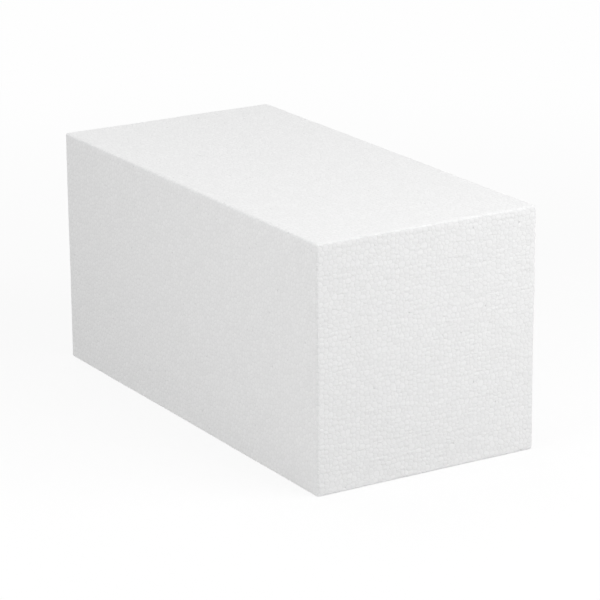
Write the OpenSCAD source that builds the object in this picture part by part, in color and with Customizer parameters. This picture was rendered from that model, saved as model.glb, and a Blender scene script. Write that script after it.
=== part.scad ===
// Rigid white block of expanded polystyrene bead foam, hot-wire cut square from a larger slab.
// Sizes are in millimetres. The origin is the middle of the base, X runs along the block's
// length, Y runs across its width, and Z is up.

/* [Block] */
// Length of the block, from end face to end face
block_length = 299.7; // [100:0.1:1200]
// Width of the block, across the base
block_width = 147.3; // [50:0.1:600]
// Height of the block, from base to top
block_height = 147.3; // [50:0.1:600]

/* [Edges] */
// Radius to which the cut edges and corners are softened
edge_radius = 1.2; // [0.2:0.1:6]

/* [Hidden] */
foam_white = [0.93, 0.93, 0.93];
// Sides of a full circle, on the softened edges and corners
round_sides = 48;
// The block's core: its size between the centres of the softened edges
core = [block_length, block_width, block_height] - 2 * edge_radius * [1, 1, 1];

// Cross-section of the block: a rectangle with softened corners, round a core of the size given
module soft_rectangle(core_x, core_y) {
    square([core_x + 2 * edge_radius, core_y], center = true);
    square([core_x, core_y + 2 * edge_radius], center = true);
    for (x = [-1, 1], y = [-1, 1])
        translate([x * core_x, y * core_y] / 2)
            circle(r = edge_radius, $fn = round_sides);
}

// Upright bar with its four long edges softened. It is no taller than its core, so that its
// ends stop where the edges round them begin.
module soft_bar(core_size) {
    linear_extrude(height = core_size.z, center = true)
        soft_rectangle(core_size.x, core_size.y);
}

// The same bar along each axis in turn: between them they carry all six faces and twelve edges
module crossed_bars() {
    soft_bar(core);
    rotate([90, 0, 0])
        soft_bar([core.x, core.z, core.y]);
    rotate([0, 90, 0])
        soft_bar([core.z, core.y, core.x]);
}

// A ball at each of the eight corners, where three softened edges meet
module corner_balls() {
    for (x = [-1, 1], y = [-1, 1], z = [-1, 1])
        translate([x * core.x, y * core.y, z * core.z] / 2)
            sphere(r = edge_radius, $fn = round_sides);
}

// The whole block is one piece of foam, standing on its base
module foam_block() {
    color(foam_white)
        translate([0, 0, block_height / 2]) {
            crossed_bars();
            corner_balls();
        }
}

foam_block();
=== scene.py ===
import math
import random

import bmesh
import bpy
from mathutils import Matrix, Vector


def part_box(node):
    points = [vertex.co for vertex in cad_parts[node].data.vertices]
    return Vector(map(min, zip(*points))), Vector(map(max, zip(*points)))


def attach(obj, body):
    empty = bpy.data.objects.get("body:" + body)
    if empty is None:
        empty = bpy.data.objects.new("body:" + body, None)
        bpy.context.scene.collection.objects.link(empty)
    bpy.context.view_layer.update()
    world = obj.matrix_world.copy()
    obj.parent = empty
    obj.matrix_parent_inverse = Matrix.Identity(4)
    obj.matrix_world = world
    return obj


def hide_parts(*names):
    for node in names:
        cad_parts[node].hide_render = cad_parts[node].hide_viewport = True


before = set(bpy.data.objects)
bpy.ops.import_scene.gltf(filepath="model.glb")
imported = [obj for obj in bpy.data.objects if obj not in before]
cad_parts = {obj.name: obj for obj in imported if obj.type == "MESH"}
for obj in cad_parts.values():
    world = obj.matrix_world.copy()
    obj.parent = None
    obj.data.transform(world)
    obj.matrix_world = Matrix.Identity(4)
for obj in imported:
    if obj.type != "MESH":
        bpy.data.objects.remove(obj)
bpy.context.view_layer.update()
blockLow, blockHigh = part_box("foam_block")
blockSize = blockHigh - blockLow
blockMiddle = (blockLow + blockHigh) / 2
print("frame loaded, the block measures", [round(side * 1000, 1) for side in blockSize], "mm")

def colourFromHex(text):
    # sRGB hex, as a paint chart gives it, to the linear colour that shaders take
    parts = [int(text[i:i + 2], 16) / 255 for i in (1, 3, 5)]
    linear = [p / 12.92 if p <= 0.04045 else ((p + 0.055) / 1.055) ** 2.4 for p in parts]
    return (*linear, 1.0)

def addNode(tree, kind, inputs=None, **settings):
    # one shader node, with its settings, and its inputs as plain values or links
    node = tree.nodes.new("ShaderNode" + kind)
    for name, value in settings.items():
        setattr(node, name, value)
    for name, value in (inputs or {}).items():
        if isinstance(value, bpy.types.NodeSocket):
            tree.links.new(value, node.inputs[name])
        else:
            node.inputs[name].default_value = value
    return node

def newMaterial(name):
    material = bpy.data.materials.new(name)
    material.use_nodes = True
    material.node_tree.nodes.clear()
    return material, material.node_tree

cameraView = {
    "azimuth": 58.7,  # degrees round from the front, towards the right-hand end
    "elevation": 17.2,  # degrees above the bench
    "roll": -0.4,  # degrees that the camera leans
    "distance": 1.77,  # metres from the point that it aims at
    "lens": 174.6,  # mm, on a 36 mm sensor
    "aim": (0.0, 0.0068, -0.0105),  # metres from the middle of the block
}

def towards(azimuth, elevation):
    # the direction from the block to a camera or lamp, 0 in front of it and 90 off its right-hand end
    azimuth, elevation = math.radians(azimuth), math.radians(elevation)
    level = math.cos(elevation)
    return Vector((math.sin(azimuth) * level, -math.cos(azimuth) * level, math.sin(elevation)))

def addCamera():
    back = towards(cameraView["azimuth"], cameraView["elevation"])
    aim = blockMiddle + Vector(cameraView["aim"])
    lean = Matrix.Rotation(math.radians(cameraView["roll"]), 3, "Z")
    turn = back.to_track_quat("Z", "Y").to_matrix() @ lean
    bpy.ops.object.camera_add(location=aim + back * cameraView["distance"], rotation=turn.to_euler())
    camera = bpy.context.object
    camera.name = "camera"
    camera.data.lens = cameraView["lens"]
    bpy.context.scene.camera = camera
    print("camera placed")

studio = {
    "floorSize": 16.0,  # metres across
    "paperColour": "#FEFEFE",  # the sweep of paper as the camera sees it
    "glowNear": 0.82,  # share of the paper that shows as plain white near the block, where the shadow is
    "fadeFrom": 0.25,  # metres from the middle, beyond which the paper fades to plain white
    "fadeTo": 0.9,  # metres from the middle, beyond which no shadow shows
    "bounceColour": "#BFBFBF",  # the light that the paper gives back to the block
    "cardColour": "#EEEEEE",  # a whiter card under the block, which keeps its lower edges from going dark
    "cardShows": 0.002,  # metres that the card's soft edge stands out all round
    "skyLevel": 0.525,  # even light from all round
}

def seenByCamera(tree):
    # 1 for what the camera sees, itself or by gloss or glass, and 0 for light on its way to the block
    rays = addNode(tree, "LightPath").outputs
    seen = rays["Is Camera Ray"]
    for other in ("Is Glossy Ray", "Is Transmission Ray"):
        seen = addNode(tree, "Math", {0: seen, 1: rays[other]}, operation="MAXIMUM").outputs[0]
    return seen

def whitePaper():
    # uncoated paper, rolled: dead matt and even, and only the block's shadow shows on it
    material, tree = newMaterial("uncoatedPaperSweep")
    place = addNode(tree, "TexCoord").outputs["Object"]

    # to the camera, white paper with a soft shadow near the block, which fades to plain white
    away = addNode(tree, "VectorMath", {0: place}, operation="LENGTH").outputs["Value"]
    glowShare = addNode(tree, "MapRange", {
        "Value": away, "From Min": studio["fadeFrom"], "From Max": studio["fadeTo"],
        "To Min": studio["glowNear"], "To Max": 1.0,
    }, interpolation_type="SMOOTHSTEP").outputs["Result"]
    white = colourFromHex(studio["paperColour"])
    paper = addNode(tree, "BsdfDiffuse", {"Color": white}).outputs[0]
    glow = addNode(tree, "Emission", {"Color": white, "Strength": 1.0}).outputs[0]
    shown = addNode(tree, "MixShader", {0: glowShare, 1: paper, 2: glow}).outputs[0]

    # to the block, greyer paper, with the card under its foot
    fromMiddle = addNode(tree, "VectorMath", {0: place}, operation="ABSOLUTE").outputs[0]
    beyond = addNode(tree, "VectorMath", {0: fromMiddle, 1: blockSize / 2}, operation="SUBTRACT").outputs[0]
    beyond = addNode(tree, "SeparateXYZ", {0: beyond}).outputs
    pastFoot = addNode(tree, "Math", {0: beyond["X"], 1: beyond["Y"]}, operation="MAXIMUM").outputs[0]
    offCard = addNode(tree, "MapRange", {"Value": pastFoot, "From Max": studio["cardShows"]},
                      interpolation_type="SMOOTHSTEP").outputs["Result"]
    # sockets 0, 6 and 7 of a colour mix are its factor and its two colours, and 2 is what it gives
    returned = addNode(tree, "Mix", {
        0: offCard, 6: colourFromHex(studio["cardColour"]), 7: colourFromHex(studio["bounceColour"]),
    }, data_type="RGBA").outputs[2]
    bounce = addNode(tree, "BsdfDiffuse", {"Color": returned}).outputs[0]

    surface = addNode(tree, "MixShader", {0: seenByCamera(tree), 1: bounce, 2: shown}).outputs[0]
    addNode(tree, "OutputMaterial", {"Surface": surface})
    return material

def addFloor():
    bpy.ops.object.select_all(action="DESELECT")
    bpy.ops.mesh.primitive_plane_add(size=studio["floorSize"], location=(0, 0, blockLow.z))
    floor = bpy.context.object
    floor.name = "floor"
    floor.data.materials.append(whitePaper())

def addSky():
    world = bpy.data.worlds.new("paleStudio")
    bpy.context.scene.world = world
    world.use_nodes = True
    tree = world.node_tree
    tree.nodes.clear()
    white = (1, 1, 1, 1)
    light = addNode(tree, "Background", {"Color": white, "Strength": studio["skyLevel"]}).outputs[0]
    backdrop = addNode(tree, "Background", {"Color": white, "Strength": 1.0}).outputs[0]
    surface = addNode(tree, "MixShader", {0: seenByCamera(tree), 1: light, 2: backdrop}).outputs[0]
    addNode(tree, "OutputWorld", {"Surface": surface})

softboxes = {
    # degrees round from the front and above the bench, metres away and across
    "rearRight": {"azimuth": 120, "elevation": 30, "distance": 0.9, "size": 0.77, "watts": 4.22},
    "front": {"azimuth": 12.5, "elevation": 21, "distance": 0.9, "size": 0.405, "watts": 2.17},
    "left": {"azimuth": 270, "elevation": 60, "distance": 1.5, "size": 1.05, "watts": 4.0},
}

def addSoftbox(name, box):
    away = towards(box["azimuth"], box["elevation"])
    bpy.ops.object.light_add(type="AREA", location=blockMiddle + away * box["distance"],
                             rotation=away.to_track_quat("Z", "Y").to_euler())
    lamp = bpy.context.object
    lamp.name = name
    lamp.data.shape = "SQUARE"
    lamp.data.size = box["size"]
    lamp.data.energy = box["watts"]
    lamp.visible_camera = False

foamBlock = {
    "beadSpacing": 0.0029,  # metres between the middles of two beads
    "beadJitter": 0.43,  # how far a bead wanders off its row, as a share of the spacing
    "softEdge": 0.0024,  # metres in from the block's edges that get a finer mesh
    "beadRise": 0.00012,  # metres that the proudest bead stands above its seams
    "pitShare": 0.004,  # share of the corners between beads that are left open
    "pitDepth": 0.0002,  # metres
    "wireWander": 0.0004,  # metres between the furthest that the hot wire strays out and in
    "wanderLength": 0.035,  # metres from one stray to the next
    "seed": 7,
}
alongAxis = 0.8  # an edge or normal with more than this share of itself along an axis points that way
onSide = 0.0001  # metres, nearer than this to a side of the block a point lies on that side

def cutAcross(piece, axis, parts):
    # cuts the edges that run along one axis into equal parts, and the faces between them
    bpy.ops.mesh.select_all(action="DESELECT")
    mesh = bmesh.from_edit_mesh(piece.data)
    for edge in mesh.edges:
        along = edge.verts[1].co - edge.verts[0].co
        edge.select_set(abs(along[axis]) > alongAxis * along.length)
    bmesh.update_edit_mesh(piece.data)
    bpy.ops.mesh.subdivide(number_cuts=parts - 1)

def scatterBeads(piece):
    # moves each vertex about within its own side, or along its own edge of the block
    wander = foamBlock["beadJitter"] * foamBlock["beadSpacing"]
    mesh = bmesh.from_edit_mesh(piece.data)
    for vertex in mesh.verts:
        for axis in range(3):
            inFromSide = blockSize[axis] / 2 - abs(vertex.co[axis] - blockMiddle[axis])
            if inFromSide > onSide:
                vertex.co[axis] += random.uniform(-wander, wander)
    bmesh.update_edit_mesh(piece.data)

def turnIntoBeads(piece):
    # every vertex becomes the many-sided outline of one bead, which meets its neighbours
    outlines = bpy.data.node_groups.new("beadOutlines", "GeometryNodeTree")
    outlines.interface.new_socket("Geometry", in_out="INPUT", socket_type="NodeSocketGeometry")
    outlines.interface.new_socket("Geometry", in_out="OUTPUT", socket_type="NodeSocketGeometry")
    meshIn = outlines.nodes.new("NodeGroupInput")
    dual = outlines.nodes.new("GeometryNodeDualMesh")
    meshOut = outlines.nodes.new("NodeGroupOutput")
    outlines.links.new(meshIn.outputs[0], dual.inputs[0])
    outlines.links.new(dual.outputs[0], meshOut.inputs[0])
    piece.modifiers.new("beadOutlines", "NODES").node_group = outlines
    bpy.ops.object.modifier_apply(modifier="beadOutlines")

def addAttribute(piece, name, domain, values):
    piece.data.attributes.new(name, "FLOAT", domain).data.foreach_set("value", values)

def fillBeads(piece):
    # a point in the middle of each bead, which joins it to every corner of its outline
    addAttribute(piece, "beadTone", "FACE", [random.random() for bead in piece.data.polygons])
    corners = len(piece.data.vertices)
    bpy.ops.object.mode_set(mode="EDIT")
    bpy.ops.mesh.select_all(action="SELECT")
    bpy.ops.mesh.poke(center_mode="MEDIAN")
    bpy.ops.object.mode_set(mode="OBJECT")
    middles = len(piece.data.vertices) - corners
    addAttribute(piece, "beadRim", "POINT", [1.0] * corners + [0.0] * middles)
    addAttribute(piece, "beadRise", "POINT", [0.0] * corners + [random.random() for middle in range(middles)])
    pits = [float(random.random() < foamBlock["pitShare"]) for corner in range(corners)]
    addAttribute(piece, "pit", "POINT", pits + [0.0] * middles)

def layOnTrueForm(piece):
    # a finer mesh where the block's edges are rounded, then all of it laid on the true form
    bpy.ops.object.mode_set(mode="EDIT")
    bpy.ops.mesh.select_all(action="DESELECT")
    mesh = bmesh.from_edit_mesh(piece.data)
    for face in mesh.faces:
        middle = face.calc_center_median() - blockMiddle
        inFromSides = sorted(blockSize[axis] / 2 - abs(middle[axis]) for axis in range(3))
        face.select_set(inFromSides[1] < foamBlock["softEdge"])
    bmesh.update_edit_mesh(piece.data)
    bpy.ops.mesh.subdivide(number_cuts=1)
    # faces beside the finer ones have gained a corner, so all are made into triangles again
    bpy.ops.mesh.select_all(action="SELECT")
    bpy.ops.mesh.quads_convert_to_tris(quad_method="BEAUTY", ngon_method="BEAUTY")
    bpy.ops.object.mode_set(mode="OBJECT")
    wrap = piece.modifiers.new("trueForm", "SHRINKWRAP")
    wrap.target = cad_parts["foam_block"]
    bpy.ops.object.modifier_apply(modifier="trueForm")

def raisePoints(piece, name, height):
    # stands the points named by an attribute out along their normals, or in if height is below 0
    group = piece.vertex_groups.new(name=name)
    for index, point in enumerate(piece.data.attributes[name].data):
        group.add([index], point.value, "REPLACE")
    push = piece.modifiers.new(name, "DISPLACE")
    push.vertex_group = name
    push.strength = height
    push.mid_level = 0
    bpy.ops.object.modifier_apply(modifier=name)
    piece.vertex_groups.clear()

def strayFromFlat(piece):
    # the slow hollows and swells that a sagging hot wire leaves
    wander = bpy.data.textures.new("wireWander", "CLOUDS")
    wander.noise_scale = foamBlock["wanderLength"]
    stray = piece.modifiers.new("wireWander", "DISPLACE")
    stray.texture = wander
    stray.strength = foamBlock["wireWander"]
    bpy.ops.object.modifier_apply(modifier="wireWander")

def markEnds(piece):
    ends = [float(abs(vertex.normal.x) > alongAxis) for vertex in piece.data.vertices]
    addAttribute(piece, "endFace", "POINT", ends)

def makeFoamBlock():
    random.seed(foamBlock["seed"])
    bpy.ops.object.select_all(action="DESELECT")
    bpy.ops.mesh.primitive_cube_add(size=1, location=blockMiddle, scale=blockSize)
    block = bpy.context.object
    block.name = "beadFoamBlock"
    bpy.ops.object.transform_apply(location=True, rotation=False, scale=True)

    bpy.ops.object.mode_set(mode="EDIT")
    for axis in range(3):
        rowsInHalf = round(blockSize[axis] / foamBlock["beadSpacing"] / 2)
        cutAcross(block, axis, 2)  # first in half, because one subdivide makes 100 cuts at most
        cutAcross(block, axis, rowsInHalf)
    scatterBeads(block)
    bpy.ops.mesh.select_all(action="SELECT")
    bpy.ops.mesh.quads_convert_to_tris(quad_method="BEAUTY")
    bpy.ops.mesh.beautify_fill(angle_limit=math.radians(2))  # within each flat side, not round an edge
    bpy.ops.object.mode_set(mode="OBJECT")
    turnIntoBeads(block)
    print("beads", len(block.data.polygons))

    fillBeads(block)
    layOnTrueForm(block)
    markEnds(block)
    raisePoints(block, "beadRise", foamBlock["beadRise"])
    raisePoints(block, "pit", -foamBlock["pitDepth"])
    strayFromFlat(block)
    bpy.ops.object.shade_smooth()
    print("block modelled,", len(block.data.polygons), "faces")
    return block

foamFinish = {
    "dullBead": "#F1F1F1",  # the least and most white of the beads
    "brightBead": "#F5F5F5",
    "seamShadeColour": "#EDEDED",  # painted shade in the seams between beads, which draws them a little greyer
    # painted shade in the open pits between beads, drawn darker grey
    "pitShadeColour": "#E0E0E0",
    "roughness": 0.8,
    "ior": 1.59,  # polystyrene
    "domeMm": 0.08,  # height of a bead's soft dome
    "domePower": 2.0,  # 2 is a round dome, and more is a flatter one
    "seamFrom": 0.75,  # how far out from a bead's middle to its rim the seam begins
    "seamMm": 0.03,  # depth of the seam
    "pitFrom": 0.55,  # how far along from a bead's middle to an open corner the pit begins
    "pitMm": 0.2,  # depth of the pit
    "cellSize": 0.0006,  # metres, coarser than the real cells of 0.1 mm so that they show
    "cellMm": 0.06,  # height of the cells
    "wireLineGap": 0.0022,  # metres between the level lines that the hot wire leaves on the ends
    "wireLineLength": 0.01,  # metres
    "wireLineMm": 0.35,  # height of the lines
}

def expandedPolystyrene():
    # steam-moulded beads, cut with a hot wire: dead matt white, a mosaic of soft-edged beads
    # with fine seams, a few open pits where beads fail to meet, and faint level wire lines; the seams and
    # pits carry painted shade
    material, tree = newMaterial("expandedPolystyreneWireCut")
    rim = addNode(tree, "Attribute", attribute_name="beadRim").outputs["Fac"]
    pit = addNode(tree, "Attribute", attribute_name="pit").outputs["Fac"]
    tone = addNode(tree, "Attribute", attribute_name="beadTone").outputs["Fac"]
    ends = addNode(tree, "Attribute", attribute_name="endFace").outputs["Fac"]
    place = addNode(tree, "TexCoord").outputs["Object"]

    dome = addNode(tree, "Math", {0: rim, 1: foamFinish["domePower"]}, operation="POWER").outputs[0]
    seam = addNode(tree, "MapRange", {"Value": rim, "From Min": foamFinish["seamFrom"]},
                   interpolation_type="SMOOTHSTEP").outputs["Result"]
    hole = addNode(tree, "MapRange", {"Value": pit, "From Min": foamFinish["pitFrom"]},
                   interpolation_type="SMOOTHSTEP").outputs["Result"]
    cells = addNode(tree, "TexNoise", {
        "Vector": place, "Scale": 1 / foamFinish["cellSize"], "Detail": 1.0,
    }).outputs["Fac"]
    linesAcross = 1 / foamFinish["wireLineLength"]
    linesUp = 1 / foamFinish["wireLineGap"]
    stretched = addNode(tree, "Mapping", {
        "Vector": place, "Scale": (linesAcross, linesAcross, linesUp),
    }).outputs["Vector"]
    lines = addNode(tree, "TexNoise", {"Vector": stretched, "Scale": 1.0, "Detail": 1.0}).outputs["Fac"]
    wireLines = addNode(tree, "Math", {0: lines, 1: ends}, operation="MULTIPLY").outputs[0]

    height = 0.0  # in millimetres, from a bead's proudest point
    for pattern, millimetres in (
        (dome, -foamFinish["domeMm"]),
        (seam, -foamFinish["seamMm"]),
        (hole, -foamFinish["pitMm"]),
        (cells, foamFinish["cellMm"]),
        (wireLines, foamFinish["wireLineMm"]),
    ):
        height = addNode(tree, "Math", {0: pattern, 1: millimetres, 2: height},
                         operation="MULTIPLY_ADD").outputs[0]
    metresInOneMm = 0.001
    bump = addNode(tree, "Bump", {
        "Height": height, "Strength": 1.0, "Distance": metresInOneMm,
    }).outputs["Normal"]

    colour = addNode(tree, "Mix", {
        0: tone, 6: colourFromHex(foamFinish["dullBead"]), 7: colourFromHex(foamFinish["brightBead"]),
    }, data_type="RGBA").outputs[2]
    # painted shade: the seams and the open pits are drawn greyer, as shade falls in them
    for share, hexColour in ((seam, foamFinish["seamShadeColour"]), (hole, foamFinish["pitShadeColour"])):
        colour = addNode(tree, "Mix", {0: share, 6: colour, 7: colourFromHex(hexColour)},
                         data_type="RGBA").outputs[2]
    principled = addNode(tree, "BsdfPrincipled", {
        "Base Color": colour, "Roughness": foamFinish["roughness"], "IOR": foamFinish["ior"], "Normal": bump,
    })
    addNode(tree, "OutputMaterial", {"Surface": principled.outputs[0]})
    print("foam material made")
    return material

addCamera()
addFloor()
addSky()
for name, box in softboxes.items():
    addSoftbox(name, box)
print("studio lit")

block = makeFoamBlock()
block.data.materials.append(expandedPolystyrene())
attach(block, "root")
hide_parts("foam_block")

bpy.context.scene.view_settings.view_transform = "Standard"
